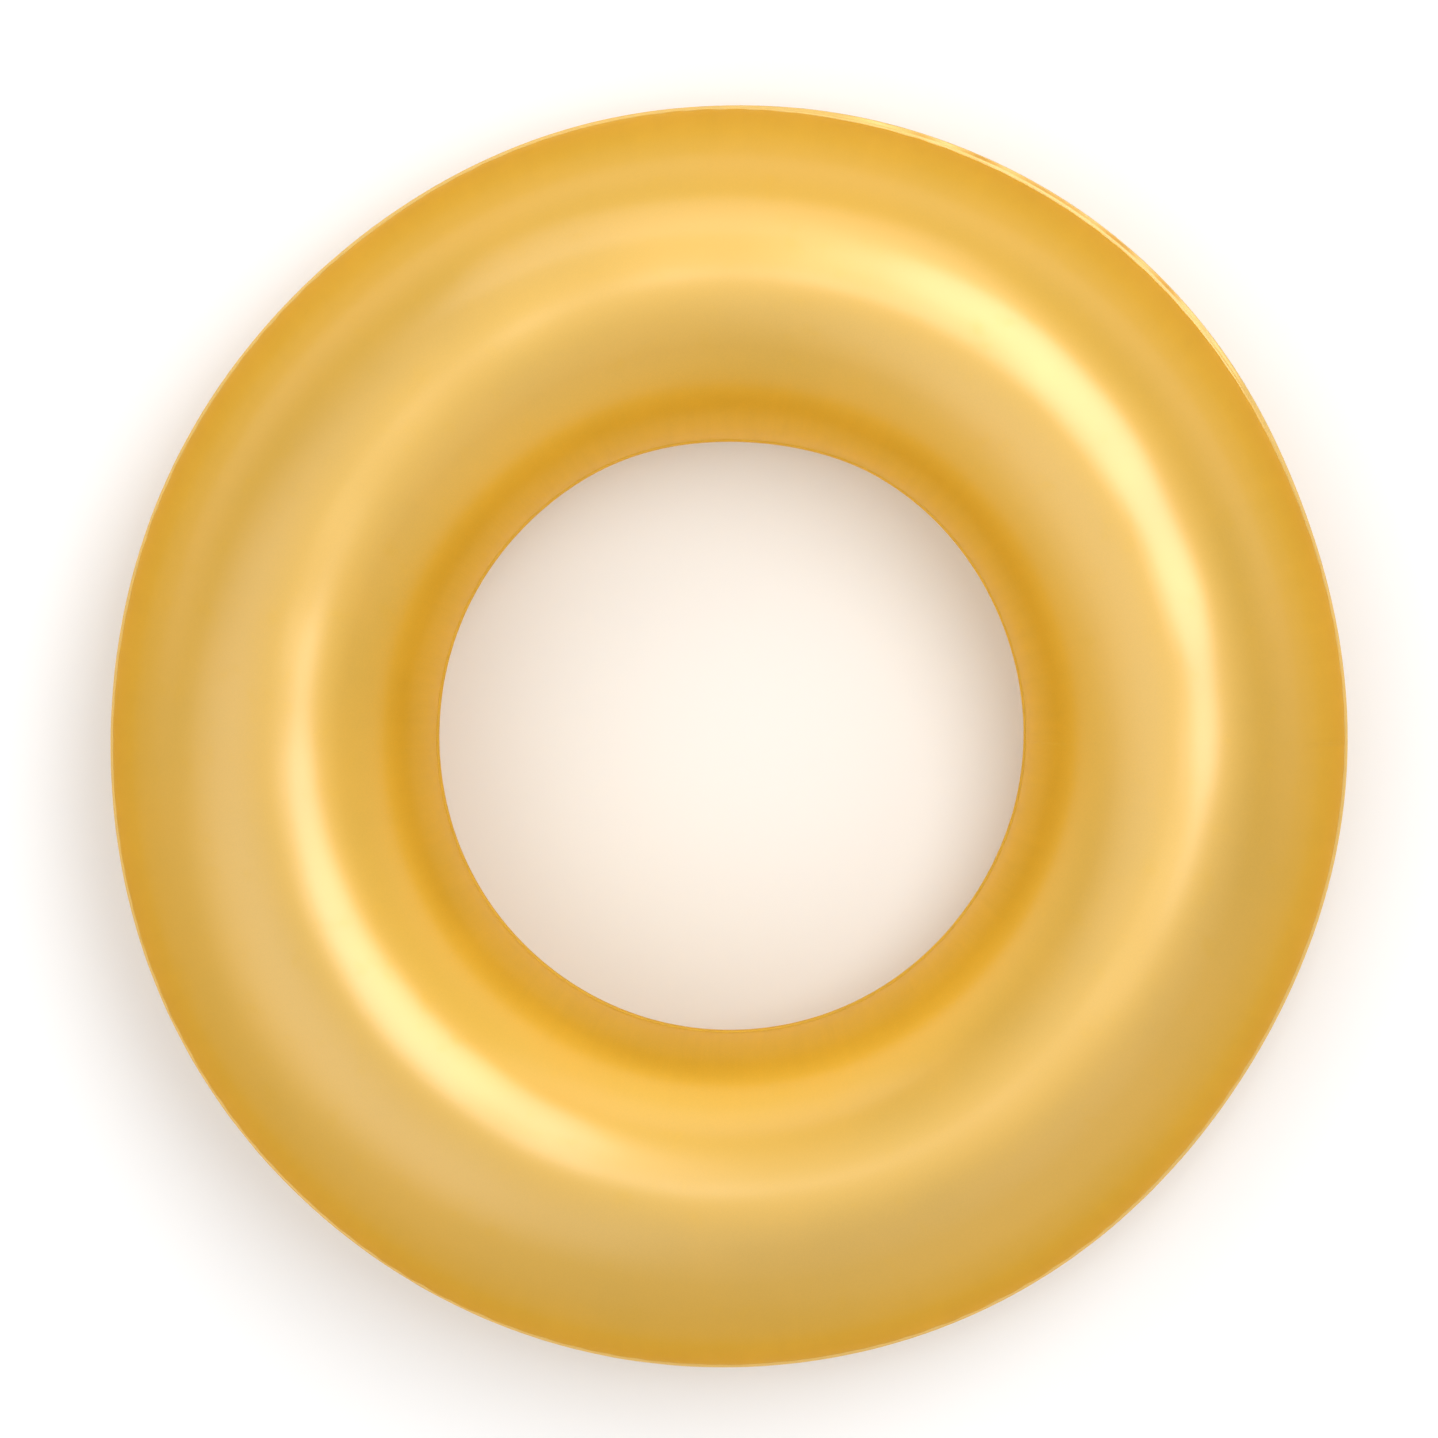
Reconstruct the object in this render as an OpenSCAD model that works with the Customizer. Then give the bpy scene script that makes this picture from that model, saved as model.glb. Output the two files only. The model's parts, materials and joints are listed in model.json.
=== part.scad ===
// Inflatable vinyl swim ring with a sunk safety valve, millimetres, +Z up.
// Origin: centre of the ring, on the surface that it lies on.
// Two flat rings of film are welded together along their outer and inner edges, and air rounds
// them into a tube. The valve is in the lower film, on the flank that faces the hole, towards +Y.

/* [Ring] */
// Radius of the circle that the tube's centre follows
ring_r = 274; // [230:1:330]
// Radius of the inflated tube
tube_r = 97; // [80:1:120]
// Thickness of one film
film_t = 0.3; // [0.2:0.05:0.5]
// Width of the band that the tube's own weight presses flat
rest_w = 12; // [6:1:24]

/* [Welds] */
// Width of the weld strip round the outside
outer_weld_w = 4; // [2:0.5:8]
// Width of the weld strip round the hole
inner_weld_w = 3; // [2:0.5:6]

/* [Valve base] */
// Angle of the valve from straight down, towards the hole
valve_tilt = 45; // [35:1:60]
// Radius of the hole in the lower film
film_hole_r = 15; // [14:0.5:18]
// Radius of the flange that is welded under the film
flange_r = 22; // [20:0.5:25]
// Thickness of the flange
flange_t = 0.8; // [0.6:0.1:1.2]
// Inner radius of the throat that the stem sinks into
throat_r = 11.5; // [11:0.1:12]
// Wall of the throat
throat_t = 1; // [0.8:0.1:1.5]
// Depth of the throat below the ring's surface
throat_depth = 4; // [3.5:0.1:6]
// Height of the folding cone between throat and stem
fold_depth = 6.5; // [5:0.5:8]
// Thickness of the folding cone
fold_t = 0.6; // [0.4:0.1:0.8]

/* [Valve stem] */
// Radius of the stem's bore
bore_r = 3.75; // [3.5:0.05:4]
// Outer radius of the stem
stem_r = 5.2; // [4.9:0.1:5.4]
// Length of the stem
stem_l = 21; // [18:0.5:26]
// Height of the stem's mouth above the ring's surface when the valve is sunk
mouth_h = 1; // [0.8:0.1:2]
// Radius of the rim at the mouth
rim_r = 6.5; // [6.2:0.1:7]
// Thickness of the rim
rim_t = 1.6; // [1.2:0.1:2]

/* [Stopper] */
// Radius of the stopper's head
head_r = 6.6; // [6.2:0.1:7]
// Thickness of the stopper's head
head_t = 1.8; // [1.8:0.1:2.4]
// Length of the plug
plug_l = 5; // [4:0.5:6]
// Radial gap between plug and bore at the mouth
plug_gap = 0.05; // [0.03:0.01:0.1]
// Width of the strap
strap_w = 4; // [3:0.5:5]
// Thickness of the strap
strap_t = 0.8; // [0.6:0.1:0.9]
// Distance from the stem's axis to the line that the stopper swings on
swing_r = 10.4; // [10:0.1:11]

/* [Backflow flap] */
// Radius of the flap
flap_r = 5; // [4.6:0.1:5.2]
// Thickness of the flap
flap_t = 0.5; // [0.4:0.1:0.8]
// Width of the patch that holds the flap to the stem
anchor_w = 5; // [4:0.5:6]
// Thickness of that patch
anchor_t = 0.8; // [0.6:0.1:1]
// Height of that patch
anchor_h = 4; // [3:0.5:6]

/* [Hidden] */
$fn = 96;
gold = [0.86, 0.66, 0.26];
milky = [0.9, 0.91, 0.88];
clear_gap = 0.05;
// Flattening the rest band brings the tube's axis this much closer to the floor.
tube_z = sqrt(pow(tube_r, 2) - pow(rest_w / 2, 2));
air_r = tube_r - film_t;
far = 2 * (ring_r + tube_r);
// Half the angle of the wedge of ring that the valve's flange needs.
wedge_a = asin(flange_r / (ring_r - tube_r)) + 3;
// Heights along the valve's axis, from the ring's outer surface.
fold_outer_z = -throat_depth;
fold_inner_z = -throat_depth - fold_depth;
fold_land = 1.2;
stem_end_z = mouth_h - stem_l;
bead_r = 0.6;
// The strap is a half loop that joins the rim's tongue to the head's tongue.
loop_x = rim_r + 2.1;
loop_out_r = 1.7;
loop_in_r = loop_out_r - strap_t;
// The film's hinge bead of the flap.
knuckle_r = 0.3;
knuckle_x = stem_r + anchor_t / 2;

// Carries its children to the valve: their +Z leaves the ring along the surface's normal,
// their +X runs along the ring and their +Y points up and into the hole.
module at_valve() {
    translate([0, ring_r, tube_z]) rotate([180 - valve_tilt, 0, 0]) translate([0, 0, tube_r]) children();
}

// Half plane above or below the welds, as wide as the ring.
module half_plane(side) {
    translate([0, side > 0 ? tube_z : tube_z - far]) square([far, far]);
}

// Section of the tube at a given radius, pressed flat at a given height.
module pressed_section(r, floor_z) {
    intersection() {
        translate([ring_r, tube_z]) circle(r);
        translate([0, floor_z]) square([far, far]);
    }
}

// Section of one film: half the tube's skin, with its half of both weld strips.
module film_section(side) {
    weld_z = side > 0 ? tube_z : tube_z - film_t;
    intersection() {
        difference() {
            pressed_section(tube_r, 0);
            pressed_section(air_r, film_t);
        }
        half_plane(side);
    }
    translate([ring_r + tube_r - film_t / 2, weld_z]) square([outer_weld_w + film_t / 2, film_t]);
    translate([ring_r - tube_r - inner_weld_w, weld_z]) square([inner_weld_w + film_t / 2, film_t]);
}

// Wedge of solid tube round the valve, to shape what lies against the film.
module tube_wedge(r) {
    rotate([0, 0, 90 - wedge_a]) rotate_extrude(angle = 2 * wedge_a) translate([ring_r, tube_z]) circle(r);
}

module top_sheet() {
    color(gold) rotate_extrude() film_section(1);
}

module bottom_sheet() {
    color(gold) difference() {
        rotate_extrude() film_section(-1);
        at_valve() translate([0, 0, -3]) cylinder(h = 6, r = film_hole_r);
    }
}

// Flange that lies under the film, with the throat that the stem sinks into.
module valve_base() {
    color(milky) difference() {
        intersection() {
            tube_wedge(air_r);
            union() {
                difference() {
                    at_valve() translate([0, 0, -10]) cylinder(h = 15, r = flange_r);
                    tube_wedge(air_r - flange_t);
                }
                at_valve() translate([0, 0, -throat_depth])
                    cylinder(h = throat_depth + 3, r = throat_r + throat_t);
            }
        }
        at_valve() translate([0, 0, -20]) cylinder(h = 30, r = throat_r);
    }
}

// Cone that turns inside out as the stem is pulled up or pushed in.
module valve_diaphragm() {
    color(milky) at_valve() rotate_extrude() polygon([
        [throat_r, fold_outer_z + fold_land],
        [throat_r, fold_outer_z],
        [stem_r, fold_inner_z - fold_land],
        [stem_r, fold_inner_z],
        [throat_r - fold_t, fold_outer_z + fold_land / 2],
        [throat_r - fold_t, fold_outer_z + fold_land]
    ]);
}

// Tongue that one end of the strap grows from.
module tongue(z) {
    translate([bore_r + 1, -strap_w / 2, z]) cube([loop_x - bore_r - 1, strap_w, strap_t]);
}

module valve_stem() {
    color(milky) at_valve() difference() {
        union() {
            translate([0, 0, stem_end_z]) cylinder(h = stem_l, r = stem_r);
            translate([0, 0, mouth_h - rim_t]) cylinder(h = rim_t, r = rim_r);
            // Bead above the fold, for the fingers that pull the stem up.
            translate([0, 0, fold_inner_z + 1.5]) rotate_extrude() translate([stem_r, 0]) circle(bead_r);
            tongue(mouth_h - loop_out_r);
        }
        translate([0, 0, stem_end_z - 1]) cylinder(h = stem_l + 2, r = bore_r);
    }
}

// Patch that wraps the stem's inner end and carries the flap's hinge.
module flap_anchor() {
    color(milky) at_valve() translate([0, 0, stem_end_z]) intersection() {
        difference() {
            cylinder(h = anchor_h, r = stem_r + anchor_t);
            translate([0, 0, -1]) cylinder(h = anchor_h + 2, r = stem_r);
        }
        translate([-2 * stem_r, -anchor_w / 2, 0]) cube([2 * stem_r, anchor_w, anchor_h]);
    }
}

// Flap that air pressure holds against the stem's inner end.
module backflow_flap() {
    flap_z = stem_end_z - clear_gap - flap_t;
    color(milky) at_valve() {
        translate([0, 0, flap_z]) cylinder(h = flap_t, r = flap_r);
        translate([-knuckle_x, -anchor_w / 2, flap_z]) cube([knuckle_x - flap_r / 2, anchor_w, flap_t / 2]);
        translate([-knuckle_x, anchor_w / 2, stem_end_z - clear_gap - knuckle_r])
            rotate([90, 0, 0]) cylinder(h = anchor_w, r = knuckle_r);
    }
}

module cap_strap() {
    color(milky) at_valve() translate([loop_x, strap_w / 2, mouth_h]) rotate([90, 0, 0])
        linear_extrude(strap_w) intersection() {
            difference() {
                circle(loop_out_r);
                circle(loop_in_r);
            }
            translate([0, -2 * loop_out_r]) square(4 * loop_out_r);
        }
}

// Radius of the plug at a depth below the mouth. Its flank is the arc that the plug's far side
// sweeps about the swing line, so that the stopper can swing straight out of the bore.
function plug_r(depth) = sqrt(pow(swing_r + bore_r - plug_gap, 2) - pow(depth, 2)) - swing_r;

module stopper_cap() {
    head_z = mouth_h + clear_gap;
    edge_r = 0.4;
    plug_steps = 6;
    hollow_r = 1.6;
    tab_w = 5;
    tab_x = head_r + 1.6;
    color(milky) at_valve() difference() {
        union() {
            // Head with a rounded upper edge.
            translate([0, 0, head_z]) cylinder(h = head_t - edge_r, r = head_r);
            translate([0, 0, head_z]) cylinder(h = head_t, r = head_r - edge_r);
            translate([0, 0, head_z + head_t - edge_r]) rotate_extrude()
                translate([head_r - edge_r, 0]) circle(edge_r);
            tongue(mouth_h + loop_in_r);
            // Finger tab opposite the strap.
            translate([-tab_x, 0, head_z + head_t - strap_t]) cylinder(h = strap_t, r = tab_w / 2);
            translate([-tab_x, -tab_w / 2, head_z + head_t - strap_t]) cube([tab_x - 3, tab_w, strap_t]);
            translate([0, 0, mouth_h]) rotate_extrude() polygon(concat(
                [[0, clear_gap + 1], [0, -plug_l]],
                [for (i = [plug_steps:-1:0]) [plug_r(plug_l * i / plug_steps), -plug_l * i / plug_steps]],
                [[plug_r(0), clear_gap + 1]]
            ));
        }
        // The plug is hollow from below, so that it gives a little as it is pressed in.
        translate([0, 0, mouth_h - plug_l - 1]) cylinder(h = plug_l, r = hollow_r);
    }
}

top_sheet();
bottom_sheet();
valve_base();
valve_diaphragm();
valve_stem();
flap_anchor();
backflow_flap();
cap_strap();
stopper_cap();
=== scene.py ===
"""Looks of an inflatable swim ring: two gold vinyl films, welded and blown up, and a sunk valve."""
import json
import math

import bmesh
import bpy
import numpy as np
from mathutils import Matrix, Vector


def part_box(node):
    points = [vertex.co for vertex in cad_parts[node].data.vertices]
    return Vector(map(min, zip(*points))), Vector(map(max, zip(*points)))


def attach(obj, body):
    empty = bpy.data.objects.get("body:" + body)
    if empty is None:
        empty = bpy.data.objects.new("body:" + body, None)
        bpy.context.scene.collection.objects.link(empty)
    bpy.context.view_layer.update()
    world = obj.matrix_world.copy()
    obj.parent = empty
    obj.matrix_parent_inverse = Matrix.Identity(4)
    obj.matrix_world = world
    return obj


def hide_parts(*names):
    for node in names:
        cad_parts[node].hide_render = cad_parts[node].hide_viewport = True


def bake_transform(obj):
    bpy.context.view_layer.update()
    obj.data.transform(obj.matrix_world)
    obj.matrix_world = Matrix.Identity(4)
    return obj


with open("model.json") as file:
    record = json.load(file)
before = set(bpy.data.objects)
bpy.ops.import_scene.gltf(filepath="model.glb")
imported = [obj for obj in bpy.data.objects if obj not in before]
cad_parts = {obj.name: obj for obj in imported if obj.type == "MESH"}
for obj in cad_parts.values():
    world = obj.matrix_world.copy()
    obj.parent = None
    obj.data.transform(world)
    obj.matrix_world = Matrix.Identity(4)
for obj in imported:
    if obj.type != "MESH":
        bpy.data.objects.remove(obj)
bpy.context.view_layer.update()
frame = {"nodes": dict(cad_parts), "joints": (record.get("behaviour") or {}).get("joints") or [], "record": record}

# Lengths are metres in the frame of the CAD model and angles are radians, unless a comment says otherwise.
MM = 0.001
TAU = 2 * math.pi


# ---------------------------------------------------------------- sizes from the frame

def joint(name):
    return next(j for j in frame["joints"] if j["name"] == name)


def node_points(name):
    return np.array([v.co for v in frame["nodes"][name].data.vertices], float)


top_low, top_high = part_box("top_sheet")
rest_band = next(m for m in frame["record"]["mounts"] if m["name"] == "rest_band")
RING_R = rest_band["pos_m"][0]
WELD_Z = top_low.z
TUBE_R = top_high.z - WELD_Z
OUTER_STRIP = top_high.x - RING_R - TUBE_R
sheet_points = node_points("top_sheet")
INNER_STRIP = RING_R - TUBE_R - np.hypot(sheet_points[:, 0], sheet_points[:, 1]).min()
FILM_T = 0.3  # thickness of one film, mm
FILM = FILM_T * MM

VALVE_N = Vector(joint("stem_slide")["axis"]).normalized()
VALVE_X = Vector((1, 0, 0))
VALVE_Y = VALVE_N.cross(VALVE_X)
VALVE_O = Vector((0, RING_R, WELD_Z)) + VALVE_N * TUBE_R


# ---------------------------------------------------------------- the inflated skin

AROUND = 880  # vertices round the ring on the outside of a film
COARSE = 4  # the hidden inside of a film has one vertex for this many
WELD_TO_WELD = math.pi * TUBE_R  # arc length over the crest

# Points along a section, mm: the step between them at the welds, and how much longer it is over the crest.
STEP_AT_WELD, STEP_GAIN = 1.5, 3.4
INSIDE_STEP = 5  # the inside's steps are this many times longer
WELD_ANGLE = 0.003  # the tube's first and last points are this far round from the welds
# Points across the weld strips, by share of the way from the outer edge, or from the tube to the inner edge.
OUTER_SHARES = (0, 0.12, 0.3, 0.38, 0.62, 0.7, 0.88)
GROOVED_SHARES = (0.38, 0.62)  # where the die has pressed a groove into the outer strip
GROOVE = 0.35  # share of the film's thickness that a groove takes
INNER_SHARES = (0.12, 0.3, 0.7, 1.0)
SEAM = 0.01 * MM  # the inside of each film's strip is this far from the plane of the weld

OVAL_AT = math.radians(75)  # direction of the ring's long axis
HOLE_OVAL, OVAL_GAIN = 1.4, 3.0  # change of radius along that axis, mm: at the hole, and added at the outside
HOLE_WOBBLE, WOBBLE_GAIN = 0.2, 0.7  # the same for the slow, irregular wave
HOLE_OFF = 3.5 * MM  # how far the hole's centre is off the ring's
HOLE_OFF_AT = math.radians(46)  # and which way

# How high each kind of gather is, and how far from its weld it is highest.
FINE_H, FINE_AT = 0.45 * MM, 7 * MM
FOLD_H, FOLD_AT = 0.26 * MM, 20 * MM
INNER_H, INNER_AT = 0.16 * MM, 8 * MM
BROAD_H = 0.32 * MM  # height of the broad waves of the outer flank

DROOP = math.radians(58)  # how far the outer strip's edge hangs down from level
CURL = math.radians(62)  # the same for the inner strip
PROUD_AT = math.radians(57)  # where the outer strip doesn't hang, but stands out
PROUD_SPREAD = math.radians(27)
EDGE_WAVE_H = 0.35 * MM  # height of the waves in the outer strip's edge
WELD_WAVE_H = 0.1 * MM  # and in the weld itself
WELD_WAVE_REACH = 3 * MM

PLAIN_R = 0.035  # the skin is plain this near the valve
PLAIN_FADE = 0.09  # and this much further away it is as uneven as elsewhere
FLOOR_FADE = 0.03  # height above the floor by which the gathers have their full height


def smooth(x):
    x = np.clip(x, 0, 1)
    return x * x * (3 - 2 * x)


def wave(seed, low, high, count):
    """A periodic, irregular wave of the azimuth, between about -1 and 1."""
    draw = np.random.default_rng(seed)
    turns = draw.choice(np.arange(low, high + 1), count, replace=False)
    phases = draw.uniform(0, TAU, count)
    sizes = draw.uniform(0.5, 1, count)
    scale = 0.7 / math.sqrt((sizes ** 2).sum() * 0.5)  # gives the wave a root mean square of 0.7

    def at(azimuth):
        return scale * sum(s * np.cos(k * azimuth + p) for k, p, s in zip(turns, phases, sizes))
    return at


def creased(values):
    """Rounded crests with narrow valleys, as pressure gives a gathered film, about a mean of 0."""
    return np.sqrt(values ** 2 + 0.015) - 0.55


def hump(arc, peak):
    """Rises from 0 to 1 at an arc length, and dies away beyond it."""
    return np.clip(arc / peak, 0, None) * np.exp(1 - arc / peak)


strip_wave = wave(11, 50, 75, 14)
broad_wave = wave(23, 14, 26, 7)
slow_wave = wave(31, 3, 9, 5)


def gathers(seed):
    """Waves of one film: fine ones at the outer weld, the folds that they run into, and the inner weld's."""
    return wave(seed, 52, 74, 16), wave(seed + 1, 22, 36, 9), wave(seed + 2, 26, 44, 9)


GATHERS = {1: gathers(101), -1: gathers(201)}


def section(side, steps):
    """Points of a film's section, from the outer weld strip's edge over the tube to the inner strip's edge.
    A point has its radius, its height, its normal's two parts and its arc length from the outer weld."""
    points = []
    for share in OUTER_SHARES:
        across = OUTER_STRIP * (1 - share)
        thickness = FILM * (1 - (GROOVE if share in GROOVED_SHARES else 0.0))
        points.append((RING_R + (TUBE_R + across), side * thickness, 0.0, float(side), -across))
    for angle in steps:
        c, s = math.cos(angle), math.sin(angle)
        points.append((RING_R + TUBE_R * c, side * max(TUBE_R * s, FILM), c, side * s, TUBE_R * angle))
    for share in INNER_SHARES:
        across = INNER_STRIP * share
        points.append((RING_R - (TUBE_R + across), side * FILM, 0.0, float(side), WELD_TO_WELD + across))
    return np.array(points)


def section_angles(fine):
    """Angles from the outer weld to the inner one: close where the film is gathered, wide over the crest."""
    angle = WELD_ANGLE
    angles = [angle]
    while angle < math.pi - 0.02:
        near = min(angle, (math.pi - angle) * 1.6)
        step = (STEP_AT_WELD + STEP_GAIN * smooth(near / 1.1)) * MM / TUBE_R
        angle += step * (1 if fine else INSIDE_STEP)
        angles.append(angle)
    spread = (math.pi - 2 * WELD_ANGLE) / (angles[-1] - WELD_ANGLE)
    return [WELD_ANGLE + (a - WELD_ANGLE) * spread for a in angles]


def skin(side, azimuth, rows):
    """Moves the plain section's points to the real, slightly uneven skin, at each azimuth round the ring."""
    a = azimuth[None, :]
    radius, height, across, up, arc = (rows[:, k][:, None] for k in range(5))
    # Near the valve the skin keeps the plain shape that the valve is made for.
    x, y, z = radius * np.cos(a), radius * np.sin(a), WELD_Z + height
    gap = np.sqrt((x - VALVE_O.x) ** 2 + (y - VALVE_O.y) ** 2 + (z - VALVE_O.z) ** 2)
    free = smooth((gap - PLAIN_R) / PLAIN_FADE)
    # Air pushes the film out between its gathers.
    fine, folds, inner = (w(a) for w in GATHERS[side])
    push = FINE_H * hump(np.maximum(arc, 0), FINE_AT) * creased(fine)
    push = push + FOLD_H * hump(np.maximum(arc, 0), FOLD_AT) * creased(folds)
    push = push + INNER_H * hump(np.maximum(WELD_TO_WELD - arc, 0), INNER_AT) * creased(inner)
    share = arc / WELD_TO_WELD
    push = push + BROAD_H * broad_wave(a) * np.sin(np.clip(share, 0, 1) * np.pi) ** 2 * (1 - share)
    on_tube = (arc > 0) & (arc < WELD_TO_WELD)
    push = np.where(on_tube, push, 0) * free * smooth(z / FLOOR_FADE)
    radius = radius + across * push
    height = height + up * push
    # The weld strips hang down. The outer one stands out in one place, and it waves a little.
    over = np.clip(-arc, 0, OUTER_STRIP)
    proud = np.exp(-((np.mod(a - PROUD_AT + np.pi, TAU) - np.pi) / PROUD_SPREAD) ** 4)
    droop = DROOP * (1 - proud) * (over / OUTER_STRIP) ** 0.6
    edge_wave = EDGE_WAVE_H * (over / OUTER_STRIP) ** 1.3
    weld_wave = WELD_WAVE_H * np.exp(-np.abs(arc) / WELD_WAVE_REACH)
    radius = radius - over * (1 - np.cos(droop))
    height = height - over * np.sin(droop) + (edge_wave + weld_wave) * strip_wave(a)
    under = np.clip(arc - WELD_TO_WELD, 0, INNER_STRIP)
    curl = CURL * (under / INNER_STRIP) ** 0.5
    radius = radius + under * (1 - np.cos(curl))
    height = height - under * np.sin(curl)
    # The ring as a whole is a little oval and uneven, and its hole is a little off its centre.
    out_share = np.clip((radius - RING_R) / TUBE_R * 0.5 + 0.5, 0, 1.1)
    oval = (HOLE_OVAL + OVAL_GAIN * out_share) * MM * np.cos(2 * (a - OVAL_AT))
    wobble = (HOLE_WOBBLE + WOBBLE_GAIN * out_share) * MM * slow_wave(a)
    off_centre = HOLE_OFF * (1 - out_share) * np.cos(a - HOLE_OFF_AT)
    radius = radius + (oval + wobble + off_centre) * free
    z = np.maximum(WELD_Z + height, 0)
    return np.stack([radius * np.cos(a), radius * np.sin(a), z + 0 * a], axis=-1)


# ---------------------------------------------------------------- the valve's own frame, in millimetres

def from_valve(x, y, z):
    """World position of points given in the valve's frame."""
    x, y, z = np.broadcast_arrays(x, y, z)
    axes = [np.array(v) for v in (VALVE_X, VALVE_Y, VALVE_N)]
    return np.array(VALVE_O) + MM * (x[..., None] * axes[0] + y[..., None] * axes[1] + z[..., None] * axes[2])


def skin_height(x, y, depth=0.0):
    """Height in the valve's frame of the ring's plain skin, or of a surface at a depth under it."""
    z = np.zeros(np.broadcast(x, y).shape)
    for _ in range(12):
        p = from_valve(x, y, z)
        out = np.hypot(np.hypot(p[..., 0], p[..., 1]) - RING_R, p[..., 2] - WELD_Z)
        z = z - ((out - TUBE_R) / MM + depth)
    return z


def circle(radius, steps):
    turn = np.arange(steps) * TAU / steps
    return radius * np.cos(turn), radius * np.sin(turn)


# ---------------------------------------------------------------- the films

SPOKES = 96  # vertices in each ring round the valve
PATCH_R = 25.0  # the film's grid gives way to rings round the valve inside this radius, mm
FILM_HOLE_R = 15.0  # mm
# Distance across a ring that the die has pressed, and its depth there, mm.
DIE_GROOVE = ((0.0, 0.0), (0.25, 0.11), (0.9, 0.11), (1.15, 0.0))
# Radius and depth of points across the valve's weld, mm: its edge, three pressed rings and a raised rim.
WELD_RINGS = (
    (FILM_HOLE_R, 0.1), (15.12, 0.0),
    *((start + across, depth) for start in (16.0, 18.1) for across, depth in DIE_GROOVE),
    (20.2, 0.0), (20.45, 0.11), (21.2, 0.11), (21.6, -0.12), (22.1, -0.14), (22.7, 0.0), (23.6, 0.0),
)
UNDER_WELD = (FILM_HOLE_R, 18.0, 21.5, 23.6)  # radii of the rings on the film's inside, mm


def grid_faces(rows, columns, start):
    """Quads of a grid that closes on itself round the ring."""
    r, c = np.meshgrid(np.arange(rows - 1), np.arange(columns), indexing="ij")
    n = (c + 1) % columns
    corners = [r * columns + c, r * columns + n, (r + 1) * columns + n, (r + 1) * columns + c]
    return (start + np.stack(corners, -1)).reshape(-1, 4)


def zipped(outer, outer_turn, inner, inner_turn):
    """Triangles between two loops of vertices, each given with its vertices' angles in rising order."""
    faces = []
    i = j = 0
    while i < len(outer) or j < len(inner):
        next_outer = outer_turn[i + 1] if i + 1 < len(outer) else outer_turn[0] + TAU
        next_inner = inner_turn[j + 1] if j + 1 < len(inner) else inner_turn[0] + TAU
        a, b = outer[i % len(outer)], inner[j % len(inner)]
        if j >= len(inner) or (i < len(outer) and next_outer <= next_inner):
            i += 1
            faces.append((a, outer[i % len(outer)], b))
        else:
            j += 1
            faces.append((a, inner[j % len(inner)], b))
    return faces


class Shell:
    """Points and faces of a film as it is put together."""

    def __init__(self):
        self.points, self.arcs, self.turns, self.faces = [], [], [], []
        self.count = 0

    def add(self, points, arc=None, turn=None):
        """Adds points with their arc lengths and azimuths, which are worked out where they aren't given.
        Returns the number of the first point."""
        points = points.reshape(-1, 3)
        if arc is None:
            out = np.hypot(points[:, 0], points[:, 1]) - RING_R
            arc = TUBE_R * np.arctan2(np.abs(points[:, 2] - WELD_Z), out)
            turn = np.mod(np.arctan2(points[:, 1], points[:, 0]), TAU)
        self.points.append(points)
        self.arcs.append(arc)
        self.turns.append(turn)
        self.count += len(points)
        return self.count - len(points)

    def add_faces(self, faces, towards):
        """Adds faces, turned round where that makes a face look the way that towards gives for its corner."""
        everything = np.concatenate(self.points)
        for face in faces:
            a, b, c = (everything[k] for k in face[:3])
            normal = np.cross(b - a, c - a)
            self.faces.append(tuple(face) if normal @ towards(a) > 0 else tuple(face)[::-1])


def block_cells(columns, arcs, reach):
    """The grid cells round the valve: lowest and highest row, and lowest and highest column."""
    valve_arc = TUBE_R * math.atan2(WELD_Z - VALVE_O.z, VALVE_O.y - RING_R)
    near = np.flatnonzero(np.abs(arcs - valve_arc) < reach)
    middle = columns // 4
    spread = math.ceil(reach / (TAU * VALVE_O.y / columns))
    return near[0] - 1, near[-1] + 1, middle - spread, middle + spread


def cut_for_valve(shell, start, rows, columns, arcs, rings, outward):
    """Leaves out a block of cells round the valve, and fills it with rings down to the film's hole.
    Returns the faces of the rest, and the first vertex of the ring at the hole."""
    top, bottom, left, right = block_cells(columns, arcs, PATCH_R * MM)
    row, column = np.meshgrid(np.arange(rows - 1), np.arange(columns), indexing="ij")
    inside = (row >= top) & (row < bottom) & (column >= left) & (column < right)
    rest = grid_faces(rows, columns, start)[~inside.reshape(-1)]
    edge = {(r, c) for r in range(top, bottom + 1) for c in (left, right)}
    edge |= {(r, c) for r in (top, bottom) for c in range(left, right + 1)}
    loop = np.array([start + r * columns + c for r, c in edge])
    offset = np.concatenate(shell.points)[loop] - np.array(VALVE_O)
    turn = np.mod(np.arctan2(offset @ np.array(VALVE_Y), offset @ np.array(VALVE_X)), TAU)
    order = np.argsort(turn)
    x, y = circle(1.0, SPOKES)
    loops = [from_valve(r * x, r * y, skin_height(r * x, r * y, depth)) for r, depth in rings]
    first = shell.add(np.stack(loops))
    ring_faces = grid_faces(len(rings), SPOKES, first).tolist()
    last = [first + (len(rings) - 1) * SPOKES + k for k in range(SPOKES)]
    ring_faces += zipped(loop[order].tolist(), turn[order], last, np.arange(SPOKES) * TAU / SPOKES)
    shell.add_faces(ring_faces, lambda corner: np.array(VALVE_N) * outward)
    return rest.tolist(), first


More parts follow.
